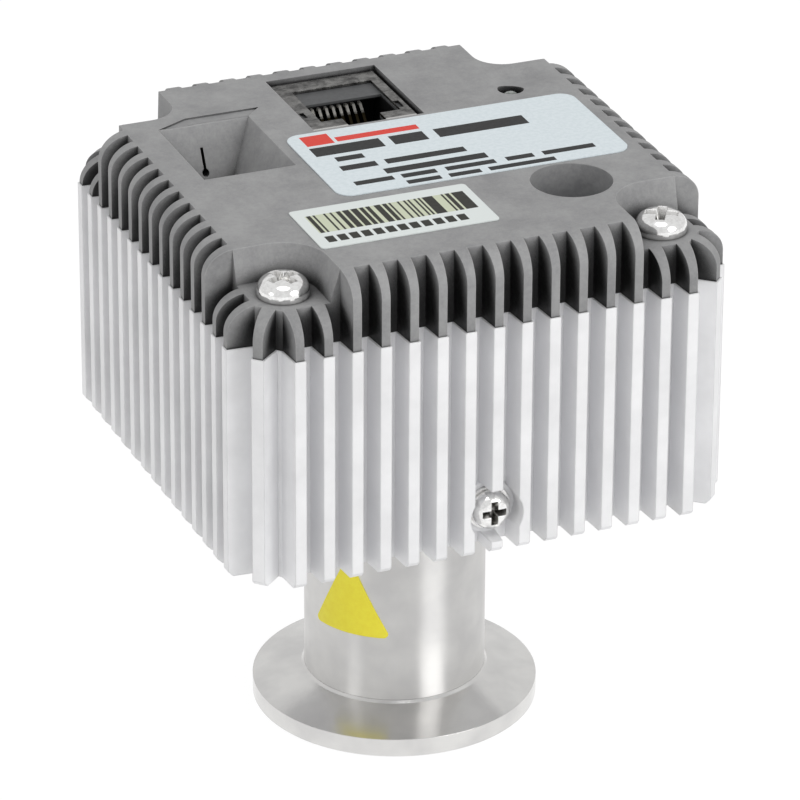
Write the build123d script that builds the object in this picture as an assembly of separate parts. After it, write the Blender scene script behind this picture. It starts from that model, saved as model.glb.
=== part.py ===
"""Hot cathode ionization gauge: finned housing on a KF25 vacuum port.

Millimetres, +Z up. The origin is the centre of the port's sealing face, on
which the gauge stands. -Y is the front, the side with the earth screw.
"""

import os
from math import cos, radians, sin, sqrt, tan

from build123d import *

# Vacuum port, to the KF25 pattern
FLANGE_R = 20.0
FLANGE_RIM = 2.8
FLANGE_CONE_DEG = 15.0
RECESS_R = 13.1
RECESS_DEPTH = 3.0
TUBE_R = 12.7
TUBE_WALL = 1.6
TUBE_SEAT_Z = 4.0
WELD_LEG = 0.4

# Housing
BODY_Z = 39.0
BODY_HEIGHT = 33.2
FIN_REACH = 35.7
FIN_DEPTH = 4.0
FIN_PITCH = 4.0
FIN_TIP = 1.6
FIN_DRAFT_DEG = 4.3
CORNER_DEPTH = 3.8
CORNER_TIP = 1.8
FOOT_BEVEL = 0.7
WALL = 2.4
FLOOR = 3.0

# Cover
COVER_HEIGHT = 10.4
COVER_INSET = 0.2
ROOF = 2.5
SHOULDER_RUN = 4.4
SHOULDER_DROP = 3.7

# Corner screws and their pockets in the cover, at the front and at the back
POCKET_DROP = (4.6, 6.6)
POCKET_R = (4.7, 4.15)
POCKET_DRAFT_DEG = (17.0, 2.0)
BOSS_R = 4.6
COVER_SCREW_R = 1.75
COVER_HEAD_R = 3.5
COVER_HEAD_H = 2.6
COVER_SCREW_LENGTH = 15.8
THREAD_GAP = 0.05
HOLE_GAP = 0.2

# Finger hopper over the selector switch
HOPPER_X = (-27.3, -14.1)
HOPPER_Y = (1.2, 19.1)
HOPPER_DEPTH = 8.6
HOPPER_DRAFT_DEG = 28.0
HOPPER_WALL = 1.6
RELIEF_DEPTH = 0.25
RELIEF_REACH = 2.4
SLIT_X = -21.6
SLIT_WIDTH = 0.4
SLIT_DROP = (2.9, 6.5)
SLIT_EYE_R = 0.5

# Selector switch
SWITCH_SIZE = (4.0, 9.0)
LEVER_SIZE = (1.6, 2.0)
LEVER_RISE = 1.4
LEVER_SOCKET = 2.5
LEVER_TRAVEL = 2.0
MOVING_GAP = 0.3

# Set point adjuster and its well
WELL_AT = (18.3, -17.05)
WELL_R = 5.6
WELL_WALL = 1.5
WELL_DEPTH = 8.6
TRIMMER_SIDE = 9.5
ROTOR_R = 2.6
ROTOR_DROP = 1.8

# Indicator lamp, at the edge of a shallow dish
LAMP_AT = (23.0, 14.4)
LAMP_R = 1.5
LAMP_GAP = 0.35
LAMP_FLANGE_R = 2.1
LAMP_LENGTH = 5.2
LAMP_DROP = 0.4
DISH_AT = (25.2, 18.0)
DISH_R = 4.2
DISH_DEPTH = 0.5

# Modular jack and its window, with gaps left, right, in front and behind
JACK_AT = (0.3, 20.25)
JACK_SIZE = (15.5, 17.6)
JACK_DROP = 0.5
JACK_GAPS = (0.2, 0.6, 0.4, 0.3)
SHELL_SHEET = 0.4
SHELL_FOLD_R = 0.6
PLUG_WIDTH = 11.8
PLUG_SHIFT = 0.4
PLUG_FRONT = 5.7
PLUG_LIP = 1.25
PLUG_BACK = 4.05
PLUG_DEPTH = 10.7
LIP_THICK = 0.5
LATCH_WIDTH = 5.6
CONTACTS = 8
CONTACT_PITCH = 1.02
CONTACT_WIRE = 0.4
CONTACT_LEG = 5.15
CONTACT_TIP = 2.65
CONTACT_BEND_DROP = 2.5
CONTACT_TIP_DROP = 8.7
CONTACT_GAP = 0.05

# Circuit boards and their posts
BOARD_GAP = 0.7
BOARD_THICK = 1.6
LOWER_BOARD_RISE = 11.4
UPPER_BOARD_DROP = 17.4
POST_FROM_EDGE = 3.6
POST_Y = 9.0
POST_R = 3.0
SPACER_R = 2.75
BOARD_SCREW_R = 1.25
BOARD_HEAD_R = 2.25
BOARD_HEAD_H = 1.6
BOARD_SCREW_LENGTH = 6.0
STUD_LENGTH = 6.0

# Gauge head, measured down from the tube's top
TUBE_RISE = 8.0
HEADER_DEPTH = 3.5
HEADER_WALL = 1.6
GLASS_DEPTH = (0.4, 3.0)
PIN_R = 0.5
PIN_RISE = 2.0
POST_INSET = 1.2
POST_DEPTH = 17.0
FILAMENT_ANGLES = ((60.0, 120.0), (240.0, 300.0))
FILAMENT_WIRE_R = 0.2
FILAMENT_DEPTH = 29.0
GRID_INSET = 2.5
GRID_WIRE_R = 0.25
GRID_ROD_R = 0.4
GRID_DEPTH = (10.0, 34.0)
GRID_ROD_DEPTH = 6.0
GRID_RINGS = 8
COLLECTOR_R = 0.25
COLLECTOR_DEPTH = 32.0

# Collar that holds the tube to the floor
COLLAR_WIDTH = 6.8
COLLAR_THICK = 5.0
COLLAR_SCREW_R = 1.25
COLLAR_HEAD_R = 2.2
COLLAR_HEAD_H = 1.8

# Earth screw, seated between the fins
EARTH_RISE = 5.4
EARTH_SEAT = 0.6
EARTH_SPOT_R = 3.8
EARTH_SCREW_R = 1.5
EARTH_HEAD_R = 2.7
EARTH_HEAD_H = 2.1
EARTH_WASHER_R = 3.1
EARTH_WASHER = 0.5
EARTH_SCREW_LENGTH = 4.6

# Parts on the boards
TRANSFORMER = (16.0, 13.0)
TRANSFORMER_AT = (-12.5, -14.5)
TRANSFORMER_GAP = 1.2
CAPACITOR_R = 4.0
CAPACITOR_GAP = 1.0
CAPACITORS_AT = ((15.5, -16.0), (15.5, 15.5))
CAN_HEIGHT = 5.0
CAN_GAP = 0.7
CAN_SHEET = 0.4
LINK_SIZE = (20.0, 2.5)
LINK_AT = (0.0, -24.0)
CHIP_SIZE = (10.0, 10.0, 1.8)
CHIP_AT = (-2.0, -12.0)

# Stickers
STICKER = 0.15
RATING_X = (-12.6, 30.0)
RATING_Y = (-11.1, 10.2)
RATING_CORNER = 2.2
BAR_X = (-20.9, 4.4)
BAR_Y = (-25.4, -13.0)
BAR_CORNER = 0.6
TUBE_STICKER_DEG = -52.5
TUBE_STICKER_Z = (14.8, 25.0)
TUBE_STICKER_BASE = 12.0
TUBE_STICKER_TOP = 2.0
TUBE_STICKER_CORNER = 0.6

# Values that follow from the sizes above
ROOT = FIN_REACH - FIN_DEPTH
CAVITY = ROOT - WALL
FINS_EACH_WAY = int((ROOT - 2.0) / FIN_PITCH)
CORNER_ROOT = (ROOT - 1.4) * sqrt(2)
CORNER_REACH = CORNER_ROOT + CORNER_DEPTH
CORNER_AT = FIN_REACH - 8.7
FLOOR_Z = BODY_Z + FLOOR
JOINT_Z = BODY_Z + BODY_HEIGHT
TOP_Z = JOINT_Z + COVER_HEIGHT
HOPPER_FLOOR_Z = TOP_Z - HOPPER_DEPTH
HOPPER_FLOOR_AT = (sum(HOPPER_X) / 2, sum(HOPPER_Y) / 2)
BOARD_HALF = CAVITY - BOARD_GAP
LOWER_BOARD_Z = FLOOR_Z + LOWER_BOARD_RISE
LOWER_TOP_Z = LOWER_BOARD_Z + BOARD_THICK
UPPER_BOARD_Z = TOP_Z - UPPER_BOARD_DROP
UPPER_TOP_Z = UPPER_BOARD_Z + BOARD_THICK
SWITCH_TOP_Z = HOPPER_FLOOR_Z - HOPPER_WALL - 0.4
ROTOR_TOP_Z = TOP_Z - WELL_DEPTH - ROTOR_DROP
LAMP_FOOT_Z = TOP_Z - LAMP_DROP - LAMP_LENGTH
JACK_TOP_Z = TOP_Z - JACK_DROP
PLUG_FLOOR_Z = JACK_TOP_Z - PLUG_DEPTH
PLUG_X = JACK_AT[0] + PLUG_SHIFT
PLUG_FRONT_Y = JACK_AT[1] - PLUG_FRONT
PLUG_LIP_Y = JACK_AT[1] + PLUG_LIP
PLUG_BACK_Y = JACK_AT[1] + PLUG_BACK
CONTACT_LEG_Y = JACK_AT[1] + CONTACT_LEG
CONTACT_TIP_Y = JACK_AT[1] - CONTACT_TIP
CONTACT_BEND_Z = JACK_TOP_Z - CONTACT_BEND_DROP
CONTACT_TIP_Z = JACK_TOP_Z - CONTACT_TIP_DROP
TUBE_BORE_R = TUBE_R - TUBE_WALL
TUBE_TOP_Z = FLOOR_Z + TUBE_RISE
PIN_TOP_Z = LOWER_TOP_Z + PIN_RISE
POST_TIP_Z = TUBE_TOP_Z - POST_DEPTH
POST_RING_R = TUBE_BORE_R - HEADER_WALL - POST_INSET
GRID_R = POST_RING_R - GRID_INSET
GRID_ROD_TOP_Z = TUBE_TOP_Z - GRID_ROD_DEPTH
CAN_SIDE = 2 * (GRID_R - PIN_R - CAN_GAP)
COLLAR_R = TUBE_R + COLLAR_WIDTH
COLLAR_SCREW_RING = TUBE_R + COLLAR_WIDTH / 2 + 0.1
EARTH_Z = BODY_Z + EARTH_RISE
EARTH_FACE = ROOT + EARTH_SEAT
CORNERS = [(sx * CORNER_AT, sy * CORNER_AT) for sx in (-1, 1) for sy in (-1, 1)]
POSTS = [(sx * (BOARD_HALF - POST_FROM_EDGE), sy * POST_Y) for sx in (-1, 1) for sy in (-1, 1)]


def rod(radius, z0, z1, x=0.0, y=0.0):
    """Upright cylinder between two heights."""
    return Pos(x, y, (z0 + z1) / 2) * Cylinder(radius, z1 - z0)


def block(x0, x1, y0, y1, z0, z1):
    """Box between two corners."""
    middle = Pos((x0 + x1) / 2, (y0 + y1) / 2, (z0 + z1) / 2)
    return middle * Box(x1 - x0, y1 - y0, z1 - z0)


def standing(size, at, z0):
    """Box of a given size that stands at a point."""
    return Pos(at[0], at[1], z0 + size[2] / 2) * Box(*size)


def turned(points):
    """Solid of revolution from a half section in X and Z."""
    section = make_face(Polyline(*[(x, 0, z) for x, z in points], close=True))
    return revolve(section, Axis.Z)


def polar(radius, degrees):
    """Point on a circle."""
    return radius * cos(radians(degrees)), radius * sin(radians(degrees))


def strut(start, end, radius):
    """Round wire between two points."""
    axis = Vector(*end) - Vector(*start)
    plane = Plane(origin=start, z_dir=axis)
    return extrude(plane * Circle(radius), axis.length)


# Fins
def side_points(inset):
    """Fin outline along the front side, then round its right corner fin."""
    lean = tan(radians(FIN_DRAFT_DEG))
    points = []
    for k in range(-FINS_EACH_WAY, FINS_EACH_WAY + 1):
        x = k * FIN_PITCH
        tip = FIN_TIP / 2 - inset
        base = FIN_TIP / 2 + FIN_DEPTH * lean - inset
        reach = FIN_REACH - inset
        points += [(x - base, -ROOT), (x - tip, -reach)]
        points += [(x + tip, -reach), (x + base, -ROOT)]
    tip = CORNER_TIP / 2 - inset
    base = CORNER_TIP / 2 + CORNER_DEPTH * lean - inset
    reach = CORNER_REACH - inset
    for along, across in ((CORNER_ROOT, -base), (reach, -tip), (reach, tip), (CORNER_ROOT, base)):
        x, y = polar(along, -45)
        dx, dy = polar(across, 45)
        points.append((x + dx, y + dy))
    return points


def fin_outline(inset=0.0):
    """Closed outline of all the fins in plan."""
    points = []
    for turn in range(4):
        c, s = (1, 0, -1, 0)[turn], (0, 1, 0, -1)[turn]
        points += [(c * x - s * y, s * x + c * y) for x, y in side_points(inset)]
    return make_face(Polyline(*points, close=True))


def across(section):
    """The shape common to a side section swept along X and along Y."""
    length = 4 * FIN_REACH
    one = extrude(Plane.XZ * section, length / 2, both=True)
    other = extrude(Plane.YZ * section, length / 2, both=True)
    return one & other


def shoulder_section(half, top, z0):
    """Side section with rounded shoulders."""
    run, drop = SHOULDER_RUN, SHOULDER_DROP
    right = EllipticalCenterArc((half - run, top - drop), run, drop, 0, arc_size=90)
    left = EllipticalCenterArc((run - half, top - drop), run, drop, 90, arc_size=90)
    lines = Polyline((-half, top - drop), (-half, z0), (half, z0), (half, top - drop))
    roof = Line((half - run, top), (run - half, top))
    return make_face([right, roof, left, lines])


def bevel_section(half, z0, z1):
    """Side section with bevelled feet."""
    b = FOOT_BEVEL
    return make_face(Polyline(
        (-half, z1), (-half, z0 + b), (b - half, z0),
        (half - b, z0), (half, z0 + b), (half, z1), close=True))


# Housing
def heatsink_body():
    """Cast finned box with floor, screw bosses and board posts."""
    body = extrude(Pos(0, 0, BODY_Z) * fin_outline(), JOINT_Z - BODY_Z)
    body &= across(bevel_section(FIN_REACH, BODY_Z, JOINT_Z))
    diagonal = across(bevel_section(CORNER_REACH, BODY_Z, JOINT_Z))
    body &= Rot(0, 0, 45) * diagonal
    inside = RectangleRounded(2 * CAVITY, 2 * CAVITY, BOSS_R)
    body -= extrude(Pos(0, 0, FLOOR_Z) * inside, JOINT_Z)
    for x, y in CORNERS:
        body += rod(BOSS_R, FLOOR_Z, JOINT_Z, x, y)
    for x, y in POSTS:
        body += rod(POST_R, FLOOR_Z, LOWER_BOARD_Z, x, y)
    body += earth_boss()
    return body - body_holes()


def earth_boss():
    """Round seat for the earth screw, between the fins."""
    seat = Plane(origin=(0, -ROOT + 0.5, EARTH_Z), z_dir=(0, -1, 0))
    return extrude(seat * Circle(EARTH_SPOT_R), EARTH_SEAT + 0.5)


def body_holes():
    """Holes in the body: tube, screws and the earth screw's spot face."""
    holes = [rod(TUBE_R + HOLE_GAP, BODY_Z, FLOOR_Z)]
    for x, y in CORNERS:
        holes.append(rod(COVER_SCREW_R + THREAD_GAP, JOINT_Z - 14, JOINT_Z, x, y))
    for x, y in POSTS:
        hole = rod(BOARD_SCREW_R + THREAD_GAP, LOWER_BOARD_Z - STUD_LENGTH, LOWER_BOARD_Z, x, y)
        holes.append(hole)
    for k in range(3):
        x, y = polar(COLLAR_SCREW_RING, 30 + 120 * k)
        holes.append(rod(COLLAR_SCREW_R + THREAD_GAP, BODY_Z + 0.6, FLOOR_Z, x, y))
    face = Plane(origin=(0, -EARTH_FACE, EARTH_Z), z_dir=(0, -1, 0))
    holes.append(extrude(face * Circle(EARTH_SPOT_R), FIN_DEPTH))
    holes.append(extrude(face * Circle(EARTH_SCREW_R + THREAD_GAP), -EARTH_SCREW_LENGTH))
    return holes


def platform_z(back):
    """Height of the seat that a corner screw's head rests on."""
    return TOP_Z - POCKET_DROP[back]


def corner_plan(size):
    """Plan of the pocket of the corner at +X +Y, rounded at its inner corner."""
    low, high = CORNER_AT - size, CORNER_REACH
    plan = make_face(Polyline((low, low), (high, low), (high, high), (low, high), close=True))
    return fillet(plan.vertices().sort_by_distance((low, low, 0))[0], size)


def corner_pocket(back):
    """Cut over the screw at +X +Y: drafted walls down to rounded fin tops."""
    seat = platform_z(back)
    plan = corner_plan(POCKET_R[back])
    prism = extrude(Pos(0, 0, JOINT_Z - 1) * plan, seat - JOINT_Z + 1)
    walls = extrude(Pos(0, 0, seat) * plan, TOP_Z + 1 - seat, taper=-POCKET_DRAFT_DEG[back])
    low = across(shoulder_section(FIN_REACH - COVER_INSET, seat, JOINT_Z - 2))
    reach = CORNER_REACH - COVER_INSET
    low &= Rot(0, 0, 45) * across(shoulder_section(reach, seat, JOINT_Z - 2))
    return (prism + walls) - low


def four_corners(make):
    """A shape in each corner, the back ones first, made for the one at +X +Y."""
    return [Rot(0, 0, 90 * turn) * make(turn < 2) for turn in range(4)]


def hopper(grow, depth):
    """Drafted finger hopper that narrows downwards."""
    x0, x1 = HOPPER_X
    y0, y1 = HOPPER_Y
    plan = Rectangle(x1 - x0 + 2 * grow, y1 - y0 + 2 * grow)
    at = Plane(origin=(*HOPPER_FLOOR_AT, TOP_Z), z_dir=(0, 0, -1))
    return extrude(at * plan, depth, taper=HOPPER_DRAFT_DEG)


def hopper_relief():
    """Shallow step behind the hopper."""
    x0, x1 = HOPPER_X
    y, back = HOPPER_Y[1], HOPPER_Y[1] + RELIEF_REACH
    plan = Polyline((x0, y), (x0 + 2 * RELIEF_REACH, back), (x1 + RELIEF_REACH, back), (x1, y), close=True)
    return extrude(Pos(0, 0, TOP_Z - RELIEF_DEPTH) * make_face(plan), RELIEF_DEPTH + 1)


def hopper_slit():
    """Slit through the hopper's back wall, with a round eye at its foot."""
    high, low = TOP_Z - SLIT_DROP[0], TOP_Z - SLIT_DROP[1]
    front, back = HOPPER_Y[1] - 4.5, HOPPER_Y[1] + 0.6
    half = SLIT_WIDTH / 2
    slit = block(SLIT_X - half, SLIT_X + half, front, back, low, high)
    eye = Plane(origin=(SLIT_X, back, low + SLIT_EYE_R), z_dir=(0, -1, 0)) * Circle(SLIT_EYE_R)
    return slit + extrude(eye, back - front)


def top_cover():
    """Moulded ribbed cover with hopper, adjuster well and jack window."""
    cover = extrude(Pos(0, 0, JOINT_Z) * fin_outline(COVER_INSET), TOP_Z - JOINT_Z)
    cover &= across(shoulder_section(FIN_REACH - COVER_INSET, TOP_Z, JOINT_Z))
    for pocket in four_corners(corner_pocket):
        cover -= pocket
    cover -= cover_cavity()
    cover += hopper(HOPPER_WALL, HOPPER_DEPTH + HOPPER_WALL) & inner_space()
    cover += rod(WELL_R + WELL_WALL, TOP_Z - WELL_DEPTH, TOP_Z - ROOF, *WELL_AT)
    return cover - cover_holes()


def inner_space():
    """Box inside the cover's walls, up into the roof."""
    return block(-CAVITY - 0.5, CAVITY, -CAVITY, CAVITY, JOINT_Z - 2, TOP_Z - 0.5)


def corner_block(back):
    """What the hollow leaves standing round the corner screw at +X +Y."""
    low = platform_z(back) - ROOF
    surround = extrude(Pos(0, 0, low) * corner_plan(POCKET_R[back] + 2.0), TOP_Z - low)
    return surround + rod(BOSS_R, JOINT_Z, platform_z(back), CORNER_AT, CORNER_AT)


def cover_cavity():
    """Hollow under the roof, around the corner pockets and bosses."""
    hollow = extrude(Pos(0, 0, JOINT_Z) * Rectangle(2 * CAVITY, 2 * CAVITY), TOP_Z - ROOF - JOINT_Z)
    for corner in four_corners(corner_block):
        hollow -= corner
    return hollow


def jack_window():
    """Opening in the roof for the jack."""
    x, y = JACK_AT
    hx, hy = JACK_SIZE[0] / 2, JACK_SIZE[1] / 2
    left, right, front, back = JACK_GAPS
    return block(x - hx - left, x + hx + right, y - hy - front, y + hy + back, JOINT_Z, TOP_Z + 1)


def lamp_dish():
    """Shallow spherical dish in the roof."""
    radius = (DISH_R ** 2 + DISH_DEPTH ** 2) / (2 * DISH_DEPTH)
    return Pos(*DISH_AT, TOP_Z - DISH_DEPTH + radius) * Sphere(radius)


def cover_holes():
    """Openings through the cover."""
    holes = [hopper(0, HOPPER_DEPTH), hopper_relief(), hopper_slit(), jack_window(), lamp_dish()]
    holes.append(rod(WELL_R, TOP_Z - WELL_DEPTH, TOP_Z + 1, *WELL_AT))
    holes.append(rod(LAMP_R + LAMP_GAP, JOINT_Z, TOP_Z + 1, *LAMP_AT))
    for x, y in CORNERS:
        holes.append(rod(COVER_SCREW_R + HOLE_GAP, JOINT_Z, platform_z(y > 0), x, y))
    low = HOPPER_FLOOR_Z - HOPPER_WALL - 1
    holes.append(block(*lever_slot(MOVING_GAP, LEVER_TRAVEL), low, HOPPER_FLOOR_Z + 1))
    return holes


# Vacuum side
def vacuum_flange():
    """Turned flange with centring recess and tapered clamp face."""
    slope = tan(radians(FLANGE_CONE_DEG))
    neck = TUBE_R + WELD_LEG
    cone_z = FLANGE_RIM + (FLANGE_R - neck) * slope
    return turned([
        (RECESS_R, 0), (FLANGE_R - 0.3, 0), (FLANGE_R, 0.3), (FLANGE_R, FLANGE_RIM),
        (neck, cone_z), (TUBE_R, cone_z + WELD_LEG), (TUBE_R, TUBE_SEAT_Z),
        (TUBE_BORE_R, TUBE_SEAT_Z), (TUBE_BORE_R, RECESS_DEPTH), (RECESS_R, RECESS_DEPTH)])


def gauge_tube():
    """Stainless tube between flange and header."""
    tube = rod(TUBE_R, TUBE_SEAT_Z, TUBE_TOP_Z)
    return tube - rod(TUBE_BORE_R, TUBE_SEAT_Z, TUBE_TOP_Z)


def header_ring():
    """Steel rim of the feedthrough, welded into the tube."""
    low = TUBE_TOP_Z - HEADER_DEPTH
    return rod(TUBE_BORE_R, low, TUBE_TOP_Z) - rod(TUBE_BORE_R - HEADER_WALL, low, TUBE_TOP_Z)


def pin_places():
    """Plan position of each feedthrough pin, by name."""
    places = {"grid_pin": (GRID_R, 0.0)}
    for name, angles in zip("ab", FILAMENT_ANGLES):
        for number, angle in enumerate(angles, 1):
            places[f"filament_pin_{name}{number}"] = polar(POST_RING_R, angle)
    return places


def header_glass():
    """Glass disc with a hole for each pin and the collector."""
    low, high = TUBE_TOP_Z - GLASS_DEPTH[1], TUBE_TOP_Z - GLASS_DEPTH[0]
    glass = rod(TUBE_BORE_R - HEADER_WALL, low, high) - rod(COLLECTOR_R, low, high)
    for x, y in pin_places().values():
        glass -= rod(PIN_R, low, high, x, y)
    return glass


def feedthrough_pins():
    """Pins through the glass: four filament posts and the grid pin."""
    pins = {}
    for name, (x, y) in pin_places().items():
        foot = GRID_ROD_TOP_Z if name == "grid_pin" else POST_TIP_Z
        pins[name] = rod(PIN_R, foot, PIN_TOP_Z, x, y)
    return pins


def anode_grid():
    """Cage of wire rings welded to two rods."""
    low, high = TUBE_TOP_Z - GRID_DEPTH[1], TUBE_TOP_Z - GRID_DEPTH[0]
    grid = rod(GRID_ROD_R, low - 1, GRID_ROD_TOP_Z, GRID_R, 0)
    grid += rod(GRID_ROD_R, low - 1, high + 1, -GRID_R, 0)
    for k in range(GRID_RINGS):
        z = low + (high - low) * k / (GRID_RINGS - 1)
        low_z, high_z = z - GRID_WIRE_R, z + GRID_WIRE_R
        ring = rod(GRID_R + GRID_WIRE_R, low_z, high_z) - rod(GRID_R - GRID_WIRE_R, low_z, high_z)
        grid += ring
    return grid


def filament(angles):
    """Hairpin wire between two posts."""
    ends = [(*polar(POST_RING_R, angle), POST_TIP_Z) for angle in angles]
    apex = (*polar(POST_RING_R, sum(angles) / 2), TUBE_TOP_Z - FILAMENT_DEPTH)
    wire = Pos(*apex) * Sphere(FILAMENT_WIRE_R)
    for end in ends:
        wire += strut(apex, end, FILAMENT_WIRE_R)
    return wire - [rod(PIN_R, POST_TIP_Z, POST_TIP_Z + 1, x, y) for x, y, _ in ends]


def tube_collar():
    """Flanged ring on the tube, screwed to the floor."""
    top = FLOOR_Z + COLLAR_THICK
    collar = rod(COLLAR_R, FLOOR_Z, top) - rod(TUBE_R, FLOOR_Z, top)
    for k in range(3):
        x, y = polar(COLLAR_SCREW_RING, 30 + 120 * k)
        collar -= rod(COLLAR_SCREW_R + HOLE_GAP, FLOOR_Z, top, x, y)
    return collar


# Fasteners
def pan_screw(radius, head_r, head_h, length):
    """Cross recess pan head screw, point down, head seated at the origin."""
    head = Pos(0, 0, head_h / 2) * Cylinder(head_r, head_h)
    head = fillet(head.edges().filter_by(GeomType.CIRCLE).sort_by(Axis.Z)[-1], head_h * 0.7)
    arm = Pos(0, 0, head_h) * Rectangle(head_r * 1.3, head_r * 0.38)
    recess = extrude(arm, -head_h * 0.75, taper=14)
    head -= recess + Rot(0, 0, 90) * recess
    return head + rod(radius, -length, 0)


def cheese_screw(radius, head_r, head_h, length):
    """Slotted cheese head screw, point down, head seated at the origin."""
    head = rod(head_r, 0, head_h)
    head -= Pos(0, 0, head_h) * Box(2 * head_r + 1, 0.7, head_h)
    return head + rod(radius, -length, 0)


def cover_screw():
    """Corner screw of the cover."""
    return pan_screw(COVER_SCREW_R, COVER_HEAD_R, COVER_HEAD_H, COVER_SCREW_LENGTH)


def earth_screw():
    """Earth screw, driven in along +Y."""
    screw = pan_screw(EARTH_SCREW_R, EARTH_HEAD_R, EARTH_HEAD_H, EARTH_SCREW_LENGTH - 0.3)
    seat = Plane(origin=(0, -EARTH_FACE - EARTH_WASHER, EARTH_Z), z_dir=(0, -1, 0))
    return seat.location * screw


def earth_washer():
    """Plain washer under the earth screw."""
    seat = Plane(origin=(0, -EARTH_FACE, EARTH_Z), z_dir=(0, -1, 0))
    disc = Circle(EARTH_WASHER_R) - Circle(EARTH_SCREW_R + HOLE_GAP)
    return extrude(seat * disc, EARTH_WASHER)


def board_spacer():
    """Round spacer between the boards, with a stud below."""
    spacer = rod(SPACER_R, LOWER_TOP_Z, UPPER_BOARD_Z)
    spacer += rod(BOARD_SCREW_R, LOWER_BOARD_Z - STUD_LENGTH + 0.3, LOWER_TOP_Z)
    low = UPPER_BOARD_Z - BOARD_SCREW_LENGTH
    return spacer - rod(BOARD_SCREW_R + THREAD_GAP, low, UPPER_BOARD_Z)


# Electronics
def board(z0, holes):
    """Circuit board cut back at the screw bosses and drilled."""
    plate = block(-BOARD_HALF, BOARD_HALF, -BOARD_HALF, BOARD_HALF, z0, z0 + BOARD_THICK)
    for x, y in CORNERS:
        plate -= rod(BOSS_R + 1, z0, z0 + BOARD_THICK, x, y)
    for x, y in POSTS:
        plate -= rod(BOARD_SCREW_R + HOLE_GAP, z0, z0 + BOARD_THICK, x, y)
    for x, y, radius in holes:
        plate -= rod(radius, z0, z0 + BOARD_THICK, x, y)
    return plate


def lower_board():
    """Power board, on which the feedthrough pins are soldered."""
    holes = [(x, y, PIN_R) for x, y in pin_places().values()]
    return board(LOWER_BOARD_Z, holes + [(0, 0, COLLECTOR_R)])


def upper_board():
    """Control board, under the jack, lamp, adjuster and switch."""
    half = CONTACT_WIRE / 2 + CONTACT_GAP
    left, right = contact_places()[0] - half, contact_places()[-1] + half
    y = CONTACT_LEG_Y
    slot = block(left, right, y - half, y + half, UPPER_BOARD_Z, UPPER_TOP_Z)
    return board(UPPER_BOARD_Z, []) - slot


def screening_can():
    """Sheet can over the collector's amplifier."""
    inside = CAN_SIDE - 2 * CAN_SHEET
    can = standing((CAN_SIDE, CAN_SIDE, CAN_HEIGHT), (0, 0), LOWER_TOP_Z)
    return can - standing((inside, inside, CAN_HEIGHT - CAN_SHEET), (0, 0), LOWER_TOP_Z)


def transformer():
    """Supply transformer, potted in a box."""
    height = UPPER_BOARD_Z - LOWER_TOP_Z - TRANSFORMER_GAP
    return standing((*TRANSFORMER, height), TRANSFORMER_AT, LOWER_TOP_Z)


def capacitor(at):
    """Electrolytic capacitor with a crimped foot."""
    foot = LOWER_TOP_Z
    body = rod(CAPACITOR_R, foot, UPPER_BOARD_Z - CAPACITOR_GAP, *at)
    groove = rod(CAPACITOR_R, foot + 1, foot + 1.5, *at)
    return body - (groove - rod(CAPACITOR_R - 0.3, foot + 1, foot + 1.5, *at))


def board_link():
    """Stacking connector between the boards."""
    return standing((*LINK_SIZE, UPPER_BOARD_Z - LOWER_TOP_Z), LINK_AT, LOWER_TOP_Z)


def lamp():
    """Indicator lamp with flange and domed lens."""
    shoulder = TOP_Z - LAMP_DROP - LAMP_R
    body = rod(LAMP_R, LAMP_FOOT_Z, shoulder) + Pos(0, 0, shoulder) * Sphere(LAMP_R)
    return Pos(*LAMP_AT) * (body + rod(LAMP_FLANGE_R, LAMP_FOOT_Z, LAMP_FOOT_Z + 1))


def lamp_spacer():
    """Sleeve that lifts the lamp to the cover."""
    sleeve = rod(LAMP_FLANGE_R, UPPER_TOP_Z, LAMP_FOOT_Z) - rod(0.9, UPPER_TOP_Z, LAMP_FOOT_Z)
    return Pos(*LAMP_AT) * sleeve


def trimmer_body():
    """Adjuster body with a round recess for the rotor."""
    height = ROTOR_TOP_Z - 0.6 - UPPER_TOP_Z
    body = standing((TRIMMER_SIDE, TRIMMER_SIDE, height), WELL_AT, UPPER_TOP_Z)
    return body - rod(ROTOR_R + MOVING_GAP, UPPER_TOP_Z + 2, ROTOR_TOP_Z, *WELL_AT)


def trimmer_rotor():
    """Slotted rotor of the adjuster."""
    rotor = rod(ROTOR_R, UPPER_TOP_Z + 2 + MOVING_GAP, ROTOR_TOP_Z)
    slot = Pos(0, 0, ROTOR_TOP_Z) * Box(2 * ROTOR_R + 1, 0.8, 2.0)
    return Pos(*WELL_AT) * (rotor - slot)


def lever_slot(gap, travel):
    """Plan limits of the selector's lever, with its gap and travel."""
    half_x = LEVER_SIZE[0] / 2 + gap
    half_y = (LEVER_SIZE[1] + travel) / 2 + gap
    x, y = HOPPER_FLOOR_AT
    return x - half_x, x + half_x, y - half_y, y + half_y


def selector_switch():
    """Slide switch body under the hopper's floor."""
    body = standing((*SWITCH_SIZE, SWITCH_TOP_Z - UPPER_TOP_Z), HOPPER_FLOOR_AT, UPPER_TOP_Z)
    return body - block(*lever_slot(MOVING_GAP, LEVER_TRAVEL), SWITCH_TOP_Z - LEVER_SOCKET, SWITCH_TOP_Z)


def selector_lever():
    """Lever of the selector, at the middle of its travel."""
    foot = SWITCH_TOP_Z - LEVER_SOCKET + MOVING_GAP
    return block(*lever_slot(0, 0), foot, HOPPER_FLOOR_Z + LEVER_RISE)


# Modular jack
def contact_places():
    """X of each contact."""
    first = PLUG_X - (CONTACTS - 1) * CONTACT_PITCH / 2
    return [first + k * CONTACT_PITCH for k in range(CONTACTS)]


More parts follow.
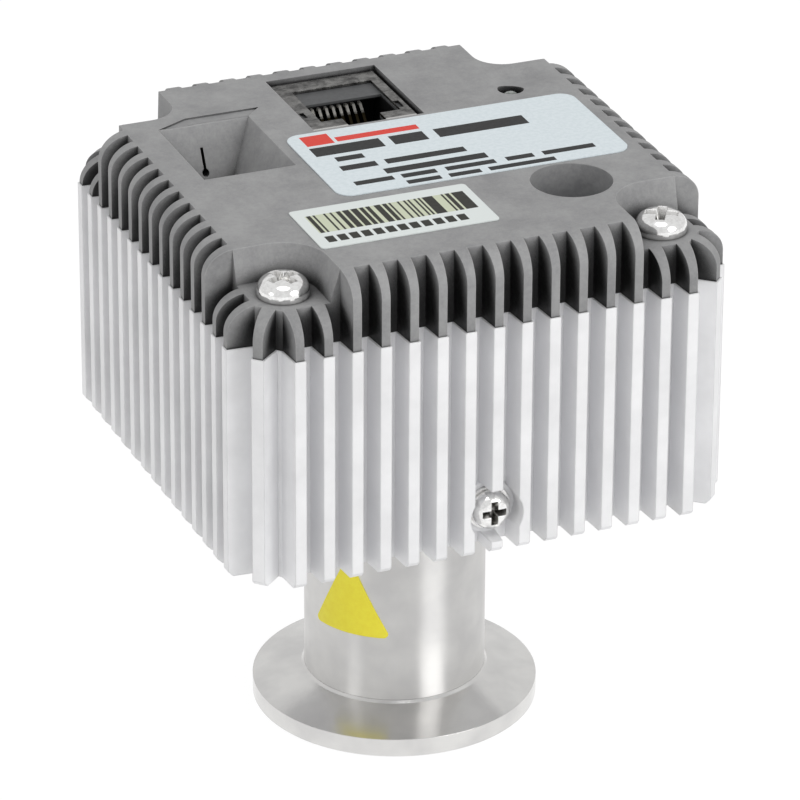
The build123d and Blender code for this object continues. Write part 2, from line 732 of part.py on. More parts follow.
def jack_shell():
    """Folded sheet shell with plug window and side springs."""
    x, y = JACK_AT
    hx, hy = JACK_SIZE[0] / 2, JACK_SIZE[1] / 2
    t = SHELL_SHEET
    shell = block(x - hx, x + hx, y - hy, y + hy, UPPER_TOP_Z, JACK_TOP_Z)
    shell = fillet(shell.edges().filter_by(Axis.X).sort_by(Axis.Z)[-2:], SHELL_FOLD_R)
    shell -= block(x - hx + t, x + hx - t, y - hy + t, y + hy - t, UPPER_TOP_Z, JACK_TOP_Z - t)
    half, latch = PLUG_WIDTH / 2, LATCH_WIDTH / 2
    low, high = JACK_TOP_Z - 1, JACK_TOP_Z + 1
    shell -= block(PLUG_X - half, PLUG_X + half, PLUG_FRONT_Y, PLUG_BACK_Y + 1.3, low, high)
    shell -= block(PLUG_X - latch, PLUG_X + latch, y - hy - 1, PLUG_FRONT_Y + 1, JACK_TOP_Z - 4, high)
    shell -= block(x - hx + 0.4, x - hx + 1.1, y - 3.7, y - 1.9, low, high)
    shell -= block(x + hx - 1.4, x + hx - 0.6, y - 4.9, y - 2.6, low, high)
    return shell


def jack_insert():
    """Moulded insert with the plug cavity, its lip and the contact slots."""
    x, y = JACK_AT
    t = SHELL_SHEET + CONTACT_GAP
    hx, hy = JACK_SIZE[0] / 2 - t, JACK_SIZE[1] / 2 - t
    top = JACK_TOP_Z - t
    insert = block(x - hx, x + hx, y - hy, y + hy, UPPER_TOP_Z, top)
    half = PLUG_WIDTH / 2 - 0.1
    insert -= block(PLUG_X - half, PLUG_X + half, PLUG_FRONT_Y, PLUG_LIP_Y, PLUG_FLOOR_Z, top)
    under = top - LIP_THICK
    insert -= block(PLUG_X - half, PLUG_X + half, PLUG_LIP_Y, PLUG_BACK_Y, PLUG_FLOOR_Z, under)
    latch = LATCH_WIDTH / 2
    insert -= block(PLUG_X - latch, PLUG_X + latch, y - hy, PLUG_FRONT_Y, PLUG_FLOOR_Z, top)
    wire = CONTACT_WIRE / 2 + CONTACT_GAP
    for cx in contact_places():
        back = CONTACT_LEG_Y + wire
        insert -= block(cx - wire, cx + wire, PLUG_BACK_Y - 1, back, UPPER_TOP_Z, CONTACT_BEND_Z + wire)
    return insert


def jack_contact(x):
    """Bent spring contact from the board into the plug cavity."""
    wire = CONTACT_WIRE
    leg = block(x - wire / 2, x + wire / 2, CONTACT_LEG_Y - wire / 2, CONTACT_LEG_Y + wire / 2,
                UPPER_BOARD_Z - 1, CONTACT_BEND_Z + wire / 2)
    top = block(x - wire / 2, x + wire / 2, PLUG_BACK_Y - 0.6, CONTACT_LEG_Y,
                CONTACT_BEND_Z - wire / 2, CONTACT_BEND_Z + wire / 2)
    tip_y, tip_z = CONTACT_TIP_Y, CONTACT_TIP_Z
    back_y = PLUG_BACK_Y - 0.6
    blade = Polyline((back_y, CONTACT_BEND_Z + wire / 2), (tip_y, tip_z + wire / 2),
                     (tip_y, tip_z - wire / 2), (back_y, CONTACT_BEND_Z - wire / 2), close=True)
    spring = extrude(Plane.YZ * make_face(blade), wire / 2, both=True)
    return leg + top + Pos(x, 0, 0) * spring


# Stickers
def flat_sticker(xs, ys, corner):
    """Thin sticker on the top of the cover."""
    plan = RectangleRounded(xs[1] - xs[0], ys[1] - ys[0], corner)
    at = Pos(sum(xs) / 2, sum(ys) / 2, TOP_Z)
    return extrude(at * plan, STICKER)


def tube_sticker():
    """Tapered sticker wrapped on the tube."""
    z0, z1 = TUBE_STICKER_Z
    base, top = TUBE_STICKER_BASE / 2, TUBE_STICKER_TOP / 2
    plan = make_face(Polyline((-base, z0), (base, z0), (top, z1), (-top, z1), close=True))
    plan = fillet(plan.vertices(), TUBE_STICKER_CORNER)
    cutter = extrude(Plane.XZ * plan, 2 * TUBE_R)
    sleeve = rod(TUBE_R + STICKER, z0, z1) - rod(TUBE_R, z0, z1)
    return Rot(0, 0, TUBE_STICKER_DEG) * (sleeve & cutter)


def pieces():
    """Every piece of the gauge, by node name."""
    parts = {
        "heatsink_body": heatsink_body(),
        "top_cover": top_cover(),
        "vacuum_flange": vacuum_flange(),
        "gauge_tube": gauge_tube(),
        "header_ring": header_ring(),
        "header_glass": header_glass(),
        "anode_grid": anode_grid(),
        "ion_collector": rod(COLLECTOR_R, TUBE_TOP_Z - COLLECTOR_DEPTH, PIN_TOP_Z),
        "filament_a": filament(FILAMENT_ANGLES[0]),
        "filament_b": filament(FILAMENT_ANGLES[1]),
        "tube_collar": tube_collar(),
        "earth_screw": earth_screw(),
        "earth_washer": earth_washer(),
        "lower_board": lower_board(),
        "upper_board": upper_board(),
        "transformer": transformer(),
        "screening_can": screening_can(),
        "board_link": board_link(),
        "control_chip": standing(CHIP_SIZE, CHIP_AT, UPPER_TOP_Z),
        "lamp": lamp(),
        "lamp_spacer": lamp_spacer(),
        "trimmer_body": trimmer_body(),
        "trimmer_rotor": trimmer_rotor(),
        "selector_switch": selector_switch(),
        "selector_lever": selector_lever(),
        "jack_shell": jack_shell(),
        "jack_insert": jack_insert(),
        "rating_sticker": flat_sticker(RATING_X, RATING_Y, RATING_CORNER),
        "bar_sticker": flat_sticker(BAR_X, BAR_Y, BAR_CORNER),
        "tube_sticker": tube_sticker(),
    }
    parts.update(feedthrough_pins())
    add_repeats(parts)
    return parts


def add_repeats(parts):
    """Add the pieces that occur several times."""
    for k, at in enumerate(CAPACITORS_AT, 1):
        parts[f"capacitor_{k}"] = capacitor(at)
    for k, (x, y) in enumerate(CORNERS, 1):
        seat = Pos(x, y, platform_z(y > 0)) * Rot(0, 0, 20 * k)
        parts[f"cover_screw_{k}"] = seat * cover_screw()
    length = COLLAR_THICK + FLOOR - 0.8
    screw = cheese_screw(COLLAR_SCREW_R, COLLAR_HEAD_R, COLLAR_HEAD_H, length)
    for k in range(3):
        x, y = polar(COLLAR_SCREW_RING, 30 + 120 * k)
        parts[f"collar_screw_{k + 1}"] = Pos(x, y, FLOOR_Z + COLLAR_THICK) * screw
    spacer = board_spacer()
    screw = cheese_screw(BOARD_SCREW_R, BOARD_HEAD_R, BOARD_HEAD_H, BOARD_SCREW_LENGTH)
    for k, (x, y) in enumerate(POSTS, 1):
        parts[f"board_spacer_{k}"] = Pos(x, y, 0) * spacer
        parts[f"board_screw_{k}"] = Pos(x, y, UPPER_TOP_Z) * screw
    for k, x in enumerate(contact_places(), 1):
        parts[f"jack_contact_{k}"] = jack_contact(x)


def main():
    """Write one STEP file for each piece."""
    os.makedirs("parts", exist_ok=True)
    for name, shape in pieces().items():
        solids = shape.solids()
        print(f"{name:20s} solids {len(solids)} volume {shape.volume:10.2f}")
        export_step(solids[0] if len(solids) == 1 else shape, f"parts/{name}.step")


if __name__ == "__main__":
    main()
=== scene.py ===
import math
import bpy
from mathutils import Matrix, Vector


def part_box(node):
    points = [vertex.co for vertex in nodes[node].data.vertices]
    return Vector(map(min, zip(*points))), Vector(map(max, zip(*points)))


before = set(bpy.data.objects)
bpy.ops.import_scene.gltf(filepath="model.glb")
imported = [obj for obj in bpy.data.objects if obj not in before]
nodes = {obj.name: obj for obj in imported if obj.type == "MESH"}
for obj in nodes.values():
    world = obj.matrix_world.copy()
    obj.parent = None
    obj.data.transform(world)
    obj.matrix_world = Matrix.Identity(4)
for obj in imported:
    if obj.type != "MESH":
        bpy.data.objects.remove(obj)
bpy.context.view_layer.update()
scene = bpy.context.scene
mm = 0.001
print("frame loaded:", len(nodes), "nodes")


def srgb(red, green, blue):      # colour as seen on screen, 0 to 255
    def lin(c):
        c = c / 255
        return c / 12.92 if c <= 0.04045 else ((c + 0.055) / 1.055) ** 2.4
    return (lin(red), lin(green), lin(blue), 1.0)


# shader helpers: a socket that takes sums, a node tree, and the material of one finish
class Wire:
    def __init__(self, owner, socket):
        self.owner = owner
        self.socket = socket

    def sum(self, operation, first, second=0.0):
        return self.owner.add("ShaderNodeMath", {"operation": operation}, {0: first, 1: second})

    def __add__(self, other):
        return self.sum("ADD", self, other)

    def __sub__(self, other):
        return self.sum("SUBTRACT", self, other)

    def __rsub__(self, other):
        return self.sum("SUBTRACT", other, self)

    def __mul__(self, other):
        return self.sum("MULTIPLY", self, other)

    def __truediv__(self, other):
        return self.sum("DIVIDE", self, other)

    def __lt__(self, other):
        return self.sum("LESS_THAN", self, other)

    def __gt__(self, other):
        return self.sum("GREATER_THAN", self, other)

    def __abs__(self):
        return self.sum("ABSOLUTE", self)

    __radd__ = __add__
    __rmul__ = __mul__

    def most(self, other):
        return self.sum("MAXIMUM", self, other)

    def root(self):
        return self.sum("SQRT", self)

    def floor(self):
        return self.sum("FLOOR", self)

    def offset(self, pitch):             # from the nearest multiple of a pitch, as a share of it
        share = self / pitch
        return abs(share - (share + 0.5).floor())

    def ramp(self, low, high, first=0.0, last=1.0):     # straight between two values, held outside
        inputs = {"Value": self, "From Min": low, "From Max": high, "To Min": first, "To Max": last}
        return self.owner.add("ShaderNodeMapRange", {"clamp": True}, inputs)


class Nodes:
    def __init__(self, owner):           # a material or a world
        owner.use_nodes = True
        self.tree = owner.node_tree
        self.tree.nodes.clear()

    def add(self, kind, settings=None, inputs=None, output=0):
        node = self.tree.nodes.new(kind)
        for key, value in (settings or {}).items():
            setattr(node, key, value)
        for key, value in (inputs or {}).items():
            self.plug(node.inputs[key], value)
        return Wire(self, node.outputs[output])

    def plug(self, socket, value):
        if isinstance(value, Wire):
            self.tree.links.new(value.socket, socket)
        else:
            socket.default_value = value

    def seen(self):                      # 1 for what is seen, also in gloss or through glass, 0 for light
        direct = self.add("ShaderNodeLightPath", output="Is Camera Ray")
        rays = direct.socket.node.outputs
        return direct.most(Wire(self, rays["Is Glossy Ray"])).most(Wire(self, rays["Is Transmission Ray"]))


class Finish(Nodes):
    def __init__(self, name):
        self.material = bpy.data.materials.new(name)
        super().__init__(self.material)
        self.place = None
        self.surface = self.tree.nodes.new("ShaderNodeBsdfPrincipled")
        self.output = self.tree.nodes.new("ShaderNodeOutputMaterial")
        self.tree.links.new(self.surface.outputs[0], self.output.inputs["Surface"])

    def set(self, **values):             # sockets of the main shader, by name
        for key, value in values.items():
            self.plug(self.surface.inputs[key.replace("_", " ")], value)

    def here(self):                      # object coordinates, in metres
        if self.place is None:
            self.place = self.add("ShaderNodeTexCoord", output="Object")
        return self.place

    def axes(self):                      # x, y and z in millimetres
        split = self.add("ShaderNodeSeparateXYZ", inputs={0: self.here()})
        return [Wire(self, socket) * 1000.0 for socket in split.socket.node.outputs]

    def noise(self, size, detail=3.0, roughness=0.5, stretch=(1, 1, 1), point=None):   # size in mm
        point = self.add("ShaderNodeMapping", inputs={"Vector": point or self.here(), "Scale": stretch})
        inputs = {"Vector": point, "Scale": 1 / (size * mm), "Detail": detail, "Roughness": roughness}
        return self.add("ShaderNodeTexNoise", inputs=inputs)

    def mix(self, factor, first, second):
        settings = {"data_type": "RGBA"}
        return self.add("ShaderNodeMix", settings, {0: factor, 6: first, 7: second}, output=2)

    def hollow(self, reach, low=0.0, high=1.0):    # 0 deep between walls, 1 in the open; reach in mm
        depth = self.add("ShaderNodeAmbientOcclusion", {"samples": 8}, {"Distance": reach * mm}, output=1)
        return depth.ramp(low, high)

    def rounded(self, edge):             # normals as if edges had this radius, in mm
        return self.add("ShaderNodeBevel", {"samples": 4}, {"Radius": edge * mm})

    def worn(self, edge, low, high):     # 1 along sharp edges, 0 on faces; the cover lightens these edges as a painted highlight
        normals = {0: self.rounded(edge), 1: self.add("ShaderNodeNewGeometry", output="Normal")}
        same = self.add("ShaderNodeVectorMath", {"operation": "DOT_PRODUCT"}, normals, output="Value")
        return (1 - same).ramp(low, high)

    def relief(self, height, depth, strength=1.0, edge=0.0):    # depth and edge radius in mm
        inputs = {"Height": height, "Distance": depth * mm, "Strength": strength}
        if edge:
            inputs["Normal"] = self.rounded(edge)
        return self.add("ShaderNodeBump", inputs=inputs)

    def patch(self, x, y, xs, ys):       # 1 inside a rectangle, else 0
        across = abs(x - (xs[0] + xs[1]) / 2) < (xs[1] - xs[0]) / 2
        along = abs(y - (ys[0] + ys[1]) / 2) < (ys[1] - ys[0]) / 2
        return across * along

    def patches(self, x, y, places):     # 1 inside any of several rectangles
        mask = 0.0
        for xs, ys in places:
            mask = self.patch(x, y, xs, ys) + mask
        return mask

    def give(self, *names):
        for name in names:
            slots = nodes[name].data.materials
            slots.clear()
            slots.append(self.material)


def numbered(name, count):
    return [f"{name}{k}" for k in range(1, count + 1)]


def radial(x, y):                # distance from the axis through 0, 0
    return (x * x + y * y).root()


# the part of a noise's range that counts, from none to all
steep = (0.38, 0.62)
middle = (0.35, 0.65)
wide = (0.3, 0.7)


# lower housing: blasted and chromated casting
bodyLook = {
    "light": srgb(243, 243, 244),
    "dull": srgb(232, 232, 233),
    "shade": srgb(232, 232, 234),
    "reach": 4.5,             # mm
    "grain": 0.35,
    "clouds": 9.0,
    "depth": 0.012,
    "edge": 0.28,
    "gapLevels": (0.1, 0.5),
}
body = Finish("castAluminium")
# painted shade in the gaps between the fins, here hardly darker than the dull tone
gaps = body.hollow(bodyLook["reach"], *bodyLook["gapLevels"])
cloud = body.noise(bodyLook["clouds"], 4.0, 0.6)
grain = body.noise(bodyLook["grain"], 3.0, 0.6)
blasted = body.mix(cloud.ramp(*middle), bodyLook["light"], bodyLook["dull"])
body.set(
    Base_Color=body.mix(gaps, bodyLook["shade"], blasted),
    Roughness=grain.ramp(*wide, 0.42, 0.56),
    Metallic=0.2,
    Normal=body.relief(grain, bodyLook["depth"], 0.6, bodyLook["edge"]),
)
body.give("heatsink_body")

# upper cover: grey moulding with a fine spark grain
coverLook = {
    "pale": srgb(159, 159, 159),
    "deep": srgb(136, 136, 137),
    "shade": srgb(10, 10, 11),
    "edgeHighlight": srgb(205, 205, 205),
    "footZ": 72.2,            # mm, where the cover meets the housing
    "darkZ": (79.0, 80.0),    # ends of the painted shade of all and of the gaps
    "reach": 4.5,
    "grain": 0.6,
    "clouds": 6.0,
    "depth": 0.035,
    "edge": 0.25,
    "gapLevels": (0.36, 0.68),       # openness where a gap is darkest and where it is plain
    "gapFoot": 0.25,          # how much less open the gaps count at the foot
    "footTone": 0.84,         # share of the plain colour at the foot, the rest painted shade
    "edgeHighlightLevels": (0.02, 0.2),
    "openLevels": (0.7, 0.95),
    "edgeHighlightShare": 0.6,
}
cover = Finish("coverMoulding")
cloud = cover.noise(coverLook["clouds"], 5.0, 0.65)
grain = cover.noise(coverLook["grain"], 2.0, 0.5)
fine = cover.noise(coverLook["grain"] / 2.5, 2.0, 0.5)
tone = cloud * 0.6 + grain * 0.25 + fine * 0.15
x, y, z = cover.axes()
# painted shade: the gaps between the ribs are painted near black, and the whole cover is painted darker
# towards its foot
depth = cover.hollow(coverLook["reach"])
foot, (darkEnd, gapEnd) = coverLook["footZ"], coverLook["darkZ"]
gaps = (depth - z.ramp(foot, gapEnd, coverLook["gapFoot"], 0.0)).ramp(*coverLook["gapLevels"])
unshaded = gaps * z.ramp(foot, darkEnd, coverLook["footTone"], 1.0)
# painted highlight: sharp edges in the open are painted lighter
edgeHighlightMask = cover.worn(coverLook["edge"], *coverLook["edgeHighlightLevels"]) * depth.ramp(*coverLook["openLevels"])
edgeHighlight = edgeHighlightMask * coverLook["edgeHighlightShare"]
moulded = cover.mix(tone.ramp(*steep), coverLook["deep"], coverLook["pale"])
moulded = cover.mix(edgeHighlight, moulded, coverLook["edgeHighlight"])
cover.set(
    Base_Color=cover.mix(unshaded, coverLook["shade"], moulded),
    Roughness=grain.ramp(*wide, 0.5, 0.66),
    Normal=cover.relief(grain * 0.6 + fine * 0.4, coverLook["depth"], 0.7, coverLook["edge"]),
)
cover.give("top_cover")

# tube and flange: turned stainless steel
steelLook = {
    "bright": srgb(224, 223, 221),
    "dark": srgb(210, 209, 208),
    "lines": 0.16,            # pitch of the turning marks
    "depth": 0.0015,
}
tubeSteel = Finish("turnedTube")
marks = tubeSteel.noise(steelLook["lines"], 2.0, 0.6, (0.02, 0.02, 1.0))
cloud = tubeSteel.noise(7.0, 3.0, 0.5)
tubeSteel.set(
    Base_Color=tubeSteel.mix(cloud.ramp(*middle), steelLook["dark"], steelLook["bright"]),
    Roughness=marks.ramp(*wide, 0.35, 0.39),
    Metallic=1.0,
    Anisotropic=1.0,
    Anisotropic_Rotation=0.25,
    Normal=tubeSteel.relief(marks, steelLook["depth"], 0.5),
)
tubeSteel.give("gauge_tube", "header_ring", "tube_collar")

flangeSteel = Finish("facedFlange")
x, y, z = flangeSteel.axes()
radius = radial(x, y)
rings = flangeSteel.add("ShaderNodeCombineXYZ", inputs={0: radius * mm, 2: z * mm})
marks = flangeSteel.noise(steelLook["lines"], 2.0, 0.6, point=rings)
cloud = flangeSteel.noise(6.0, 3.0, 0.5)
flangeSteel.set(
    Base_Color=flangeSteel.mix(cloud.ramp(*middle), steelLook["dark"], steelLook["bright"]),
    Roughness=marks.ramp(*wide, 0.16, 0.23),
    Metallic=1.0,
    Anisotropic=0.75,
    Anisotropic_Rotation=0.25,
    Normal=flangeSteel.relief(marks, steelLook["depth"], 0.6, 0.12),
)
flangeSteel.give("vacuum_flange")

# screws: bright nickel, with painted shade in the recess
screwLook = {
    "bright": srgb(246, 246, 245),
    "worn": srgb(230, 229, 228),
    "recessShade": srgb(150, 149, 147),
    "scratch": 0.9,           # mm
    "recess": 0.9,
    "recessLevels": (0.3, 0.75),
}
screwSteel = Finish("screwNickel")
wear = screwSteel.noise(screwLook["scratch"], 4.0, 0.7)
# painted shade: darker deep in the recess
recess = screwSteel.hollow(screwLook["recess"], *screwLook["recessLevels"])
plated = screwSteel.mix(wear.ramp(0.4, 0.62), screwLook["bright"], screwLook["worn"])
screwSteel.set(
    Base_Color=screwSteel.mix(recess, screwLook["recessShade"], plated),
    Roughness=wear.ramp(*wide, 0.1, 0.16),
    Metallic=1.0,
    Normal=screwSteel.relief(wear, 0.0008, 0.3, 0.15),
)
screwSteel.give("earth_screw", "earth_washer", *numbered("cover_screw_", 4), *numbered("collar_screw_", 3))
screwSteel.give(*numbered("board_screw_", 4), *numbered("board_spacer_", 4))

# jack shell: tin, with a painted highlight on the lips at its front and painted darker, mottled tin behind
# them
shellLook = {
    "bright": srgb(236, 235, 232),
    "tin": srgb(128, 127, 125),
    "mottle": srgb(58, 57, 56),
    "size": 1.6,
    "lipY": 12.1,             # mm
}
shellTin = Finish("shellTin")
x, y, z = shellTin.axes()
mottle = shellTin.noise(shellLook["size"], 6.0, 0.75, (1.0, 1.5, 1.0))
paintedDark = shellTin.mix(mottle.ramp(*steep), shellLook["tin"], shellLook["mottle"])
# painted highlight on the front lips, painted darker tin behind them
behindLip = y.ramp(shellLook["lipY"], shellLook["lipY"] + 0.5)
shellTin.set(
    Base_Color=shellTin.mix(behindLip, shellLook["bright"], paintedDark),
    Roughness=mottle.ramp(*wide, 0.18, 0.36),
    Metallic=1.0,
    Normal=shellTin.relief(mottle, 0.01, 0.5, 0.1),
)
shellTin.give("jack_shell", "screening_can")

# electrodes and feedthrough pins
wireLook = {
    "gridWire": (srgb(168, 167, 168), srgb(128, 127, 129), 0.35),
    "feedthroughPin": (srgb(190, 189, 186), srgb(165, 163, 160), 0.3),
}
wires = {}
for name, (bright, dull, roughness) in wireLook.items():
    wire = Finish(name)
    wear = wire.noise(0.8, 3.0, 0.6)
    wire.set(
        Base_Color=wire.mix(wear.ramp(*middle), bright, dull),
        Roughness=wear.ramp(*wide, roughness - 0.06, roughness + 0.06),
        Metallic=1.0,
    )
    wires[name] = wire
wires["gridWire"].give("anode_grid", "ion_collector", "filament_a", "filament_b")
wires["feedthroughPin"].give("grid_pin", *numbered("filament_pin_a", 2), *numbered("filament_pin_b", 2))

# jack contacts: bright at the tips, painted dark below them as shade
contactLook = {
    "brightTips": srgb(250, 248, 240),
    "paintedDark": srgb(34, 30, 20),
    "shadeEdgeZ": (78.7, 79.1),   # mm
}
gold = Finish("goldContact")
x, y, z = gold.axes()
wear = gold.noise(0.8, 3.0, 0.6)
# painted shade: dark below the tips
brightTips = z.ramp(*contactLook["shadeEdgeZ"])
gold.set(
    Base_Color=gold.mix(brightTips, contactLook["paintedDark"], contactLook["brightTips"]),
    Roughness=wear.ramp(*wide, 0.16, 0.28),
    Metallic=brightTips.ramp(0.0, 1.0, 1.0, 0.0),
)
gold.give(*numbered("jack_contact_", 8))

# jack insert: grey moulding on the ledge behind the plug, painted near black below it as shade in the
# cavity
insertLook = {"cavityShade": srgb(9, 9, 10), "ledge": srgb(84, 85, 86), "ledgeZ": 81.3}
insert = Finish("insertMoulding")
x, y, z = insert.axes()
grain = insert.noise(0.5, 3.0, 0.6)
# painted shade: near black below the ledge height
insert.set(
    Base_Color=insert.mix(z > insertLook["ledgeZ"], insertLook["cavityShade"], insertLook["ledge"]),
    Roughness=grain.ramp(*wide, 0.42, 0.58),
    Specular_IOR_Level=0.3,
    Normal=insert.relief(grain, 0.01, 0.5, 0.1),
)
insert.give("jack_insert")

# plain mouldings: colour, darker shade, roughness, grain in mm
mouldingLook = {
    "blackMoulding": (srgb(34, 34, 35), srgb(24, 24, 25), 0.5, 0.3),
    "blueMoulding": (srgb(52, 92, 160), srgb(40, 76, 140), 0.38, 0.4),
    "whiteMoulding": (srgb(214, 212, 205), srgb(198, 196, 190), 0.42, 0.4),
    "capSleeve": (srgb(40, 44, 58), srgb(30, 33, 46), 0.3, 0.5),
}
mouldings = {}
for name, (main, shade, roughness, size) in mouldingLook.items():
    moulding = Finish(name)
    grain = moulding.noise(size, 3.0, 0.6)
    moulding.set(
        Base_Color=moulding.mix(grain.ramp(*middle), main, shade),
        Roughness=grain.ramp(*wide, roughness - 0.08, roughness + 0.08),
        Normal=moulding.relief(grain, 0.01, 0.5, 0.1),
    )
    mouldings[name] = moulding
mouldings["blackMoulding"].give("board_link", "control_chip", "lamp_spacer", "selector_switch")
mouldings["blackMoulding"].give("transformer", "trimmer_rotor")
mouldings["blueMoulding"].give("trimmer_body")
mouldings["whiteMoulding"].give("selector_lever")
mouldings["capSleeve"].give("capacitor_1", "capacitor_2")

# circuit boards: green resist over a copper pattern
boardLook = {"resist": srgb(24, 92, 58), "copper": srgb(42, 122, 74), "pitch": 2.54, "track": 0.7}
resist = Finish("boardResist")
x, y, z = resist.axes()
weave = resist.noise(0.5, 2.0, 0.5)
lane = x.offset(boardLook["pitch"]) * boardLook["pitch"]
tracks = (lane < boardLook["track"] / 2) * (resist.noise(5.0, 1.0, 0.3, (0.3, 1.0, 1.0)) > 0.5)
resist.set(
    Base_Color=resist.mix(tracks, boardLook["resist"], boardLook["copper"]),
    Roughness=weave.ramp(*wide, 0.28, 0.4),
    Normal=resist.relief(tracks + weave * 0.2, 0.03, 0.6),
)
resist.give("lower_board", "upper_board")

# sealing glass of the feedthrough
glassLook = {"tint": srgb(176, 196, 190), "dim": srgb(150, 172, 168)}
glass = Finish("sealingGlass")
swirl = glass.noise(2.0, 3.0, 0.5)
glass.set(
    Base_Color=glass.mix(swirl.ramp(*middle), glassLook["tint"], glassLook["dim"]),
    Roughness=swirl.ramp(*wide, 0.04, 0.12),
    Transmission_Weight=0.7,
    IOR=1.5,
)
glass.give("header_glass")

# indicator lamp: unlit lens, with a dark ring of painted shade round it where it sits in the hole
lampLook = {
    "lens": srgb(150, 154, 150),
    "core": srgb(96, 102, 98),
    "ringShade": srgb(10, 10, 10),
    "ringShadeR": 1.0,            # mm
    "blend": 0.15,
}
lens = Finish("lampLens")
x, y, z = lens.axes()
low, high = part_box("lamp")
centre = [(low[k] + high[k]) / 2 / mm for k in (0, 1)]
# painted shade: dark ring beyond this radius
rim = radial(x - centre[0], y - centre[1]).ramp(lampLook["ringShadeR"], lampLook["ringShadeR"] + lampLook["blend"])
haze = lens.noise(0.7, 3.0, 0.6)
glow = lens.mix(haze.ramp(0.4, 0.6), lampLook["lens"], lampLook["core"])
lens.set(
    Base_Color=lens.mix(rim, glow, lampLook["ringShade"]),
    Roughness=haze.ramp(*wide, 0.12, 0.24),
    Coat_Weight=0.6,
)
lens.give("lamp")

# main label: coated film with plain bars in place of print, in mm on the cover
labelLook = {
    "film": srgb(224, 233, 237),
    "shade": srgb(217, 227, 231),
    "ink": srgb(16, 16, 17),
    "red": srgb(222, 56, 42),
}
redBars = [((-10.6, -6.6), (5.9, 9.2)), ((-6.1, 5.9), (6.1, 7.6))]
inkBars = [
    ((-10.7, -0.6), (2.3, 5.2)), ((0.8, 5.8), (2.3, 5.2)), ((7.4, 20.6), (2.3, 5.2)),
    ((-8.6, -4.6), (-0.2, 1.3)),
    ((-9.1, -3.9), (-3.3, -1.7)), ((-2.6, 9.0), (-3.3, -1.7)),
    ((-3.9, 10.9), (-6.3, -4.6)),
    ((-9.2, -3.6), (-8.4, -7.1)), ((-2.4, 2.6), (-8.4, -7.1)), ((4.0, 11.2), (-8.4, -7.1)),
    ((12.8, 16.8), (-8.4, -7.1)), ((18.2, 25.8), (-8.4, -7.1)),
    ((-2.5, 2.4), (-10.5, -9.3)), ((3.6, 8.2), (-10.5, -9.3)), ((9.4, 19.1), (-10.5, -9.3)),
]
label = Finish("mainLabel")
x, y, z = label.axes()
fibre = label.noise(0.6, 3.0, 0.6)
film = label.mix(fibre.ramp(0.4, 0.6), labelLook["film"], labelLook["shade"])
printed = label.mix(label.patches(x, y, redBars), film, labelLook["red"])
label.set(
    Base_Color=label.mix(label.patches(x, y, inkBars), printed, labelLook["ink"]),
    Specular_IOR_Level=0.2,
    Roughness=fibre.ramp(*wide, 0.3, 0.4),
    Normal=label.relief(fibre, 0.004, 0.4, 0.1),
)
label.give("rating_sticker")

# bar label: film, a row of uneven bars and a dashed line
barLook = {
    "film": srgb(226, 232, 230),
    "field": srgb(206, 212, 186),
    "ink": srgb(26, 26, 14),
    "fieldX": (-19.4, 3.2),
    "fieldY": (-20.8, -15.2),
    "module": 0.3,
    "inkAbove": 0.46,         # of a random value for each module
    "lineX": (-19.4, 0.8),
    "lineY": (-23.9, -22.0),
    "dash": 1.7,
    "dashShare": 0.72,
}
bars = Finish("barLabel")
x, y, z = bars.axes()
fibre = bars.noise(0.6, 3.0, 0.6)
step = (x / barLook["module"]).floor()
hashed = bars.add("ShaderNodeTexWhiteNoise", {"noise_dimensions": "1D"}, {"W": step})
field = bars.patch(x, y, barLook["fieldX"], barLook["fieldY"])
row = bars.patch(x, y, barLook["lineX"], barLook["lineY"])
dash = x.offset(barLook["dash"]) < barLook["dashShare"] / 2
film = bars.mix(field, barLook["film"], barLook["field"])
bars.set(
    Base_Color=bars.mix(field * (hashed > barLook["inkAbove"]) + row * dash, film, barLook["ink"]),
    Specular_IOR_Level=0.2,
    Roughness=fibre.ramp(*wide, 0.3, 0.4),
    Normal=bars.relief(fibre, 0.004, 0.4, 0.1),
)
bars.give("bar_sticker")

# tube label: plain yellow film
tubeLabelLook = {"yellow": srgb(248, 236, 58), "warm": srgb(243, 228, 52)}
yellow = Finish("yellowLabel")
fibre = yellow.noise(0.8, 3.0, 0.6)
yellow.set(
    Base_Color=yellow.mix(fibre.ramp(*wide), tubeLabelLook["yellow"], tubeLabelLook["warm"]),
    Roughness=fibre.ramp(*wide, 0.3, 0.42),
    Normal=yellow.relief(fibre, 0.004, 0.4, 0.1),
)
yellow.give("tube_sticker")
print("materials given:", len(bpy.data.materials))

# floor and studio
white = (1, 1, 1, 1)
floorLook = {
    "size": 3.0,              # metres
    "gap": 0.0001,
    "colour": (0.86, 0.86, 0.86, 1.0),
    "plain": 0.9,             # share of the floor that keeps no shadow
    "white": 1.06,
}
bpy.ops.object.select_all(action="DESELECT")
under = (0, 0, -floorLook["gap"])
bpy.ops.mesh.primitive_plane_add(size=floorLook["size"], location=under)
floor = bpy.context.object
floor.name = "studioFloor"
paper = Finish("studioPaper")
tooth = paper.noise(2.0, 2.0, 0.5)
paper.set(
    Base_Color=floorLook["colour"],
    Roughness=tooth.ramp(*wide, 0.85, 0.95),
)
share = paper.seen() * floorLook["plain"]
glow = paper.add("ShaderNodeEmission", inputs={"Color": white, "Strength": floorLook["white"]})
lit = Wire(paper, paper.surface.outputs[0])
blend = paper.add("ShaderNodeMixShader", inputs={0: share, 1: lit, 2: glow})
paper.plug(paper.output.inputs["Surface"], blend)
floor.data.materials.append(paper.material)

worldLook = {"fill": 0.66, "seen": 0.8}       # strength as light, and where it is seen
world = bpy.data.worlds.new("studioWorld")
scene.world = world
sky = Nodes(world)
room = sky.add("ShaderNodeBackground", inputs={"Color": white, "Strength": worldLook["fill"]})
plain = sky.add("ShaderNodeBackground", inputs={"Color": white, "Strength": worldLook["seen"]})
pick = sky.add("ShaderNodeMixShader", inputs={0: sky.seen(), 1: room, 2: plain})
skyOutput = sky.tree.nodes.new("ShaderNodeOutputWorld")
sky.plug(skyOutput.inputs["Surface"], pick)


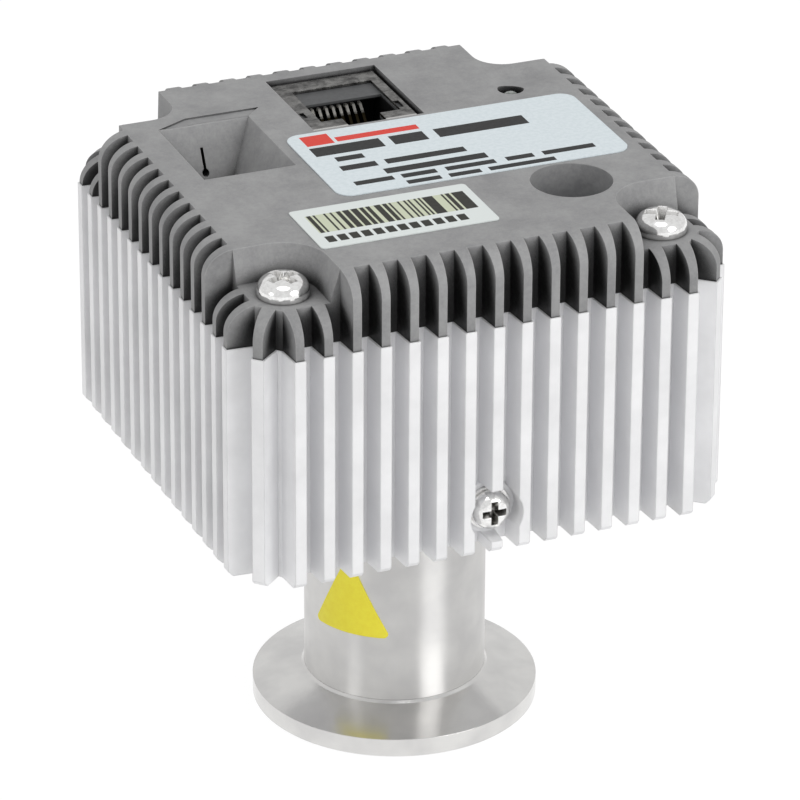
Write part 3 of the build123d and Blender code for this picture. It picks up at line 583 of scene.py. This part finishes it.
def aim(azimuth, elevation):     # unit vector from the part towards a lamp or the camera, in degrees
    turn, lift = math.radians(azimuth), math.radians(elevation)
    return Vector((math.sin(turn) * math.cos(lift), -math.cos(turn) * math.cos(lift), math.sin(lift)))


def softLamp(name, azimuth, elevation, distance, size, watts):
    away = aim(azimuth, elevation)
    data = bpy.data.lights.new(name, "AREA")
    data.shape = "DISK"
    data.size = size
    data.energy = watts
    lamp = bpy.data.objects.new(name, data)
    scene.collection.objects.link(lamp)
    lamp.location = Vector((0, 0, 0.05)) + away * distance      # aimed 50 mm above the floor
    lamp.rotation_euler = away.to_track_quat("Z", "Y").to_euler()


lampPlan = {      # sizes and distances in metres
    "keyLamp": {"azimuth": 27, "elevation": 20, "distance": 0.9, "size": 0.52, "watts": 2.0},
    "bandLamp": {"azimuth": -73, "elevation": 14, "distance": 0.9, "size": 0.3, "watts": 0.28},
    "topLamp": {"azimuth": -20, "elevation": 70, "distance": 0.9, "size": 0.6, "watts": 1.5},
}
for name, plan in lampPlan.items():
    softLamp(name, **plan)
print("lamps set:", len(lampPlan))

# camera, fitted to the photograph
view = {
    "azimuth": -22.4947,
    "elevation": 26.2725,
    "roll": 0.2907,
    "distance": 786.5787,
    "focal": 5697.6279,       # in pixels of the 800 px frame
    "right": 0.6309,          # target, mm
    "height": 45.3269,
    "frame": 800,
    "sensor": 36.0,
    "clip": (0.01, 20),
}
away = aim(view["azimuth"], view["elevation"])
turn = math.radians(view["azimuth"])
level = Vector((math.cos(turn), math.sin(turn), 0))
upright = away.cross(level)
lean = math.radians(view["roll"])
side = level * math.cos(lean) + upright * math.sin(lean)
up = upright * math.cos(lean) - level * math.sin(lean)
target = level * view["right"] * mm + Vector((0, 0, view["height"] * mm))
eye = target + away * view["distance"] * mm
lensData = bpy.data.cameras.new("camera")
lensData.sensor_width = view["sensor"]
lensData.lens = view["focal"] / view["frame"] * view["sensor"]
lensData.clip_start, lensData.clip_end = view["clip"]
camera = bpy.data.objects.new("camera", lensData)
scene.collection.objects.link(camera)
camera.matrix_world = Matrix.Translation(eye) @ Matrix((side, up, away)).transposed().to_4x4()
scene.camera = camera
scene.view_settings.view_transform = "Standard"
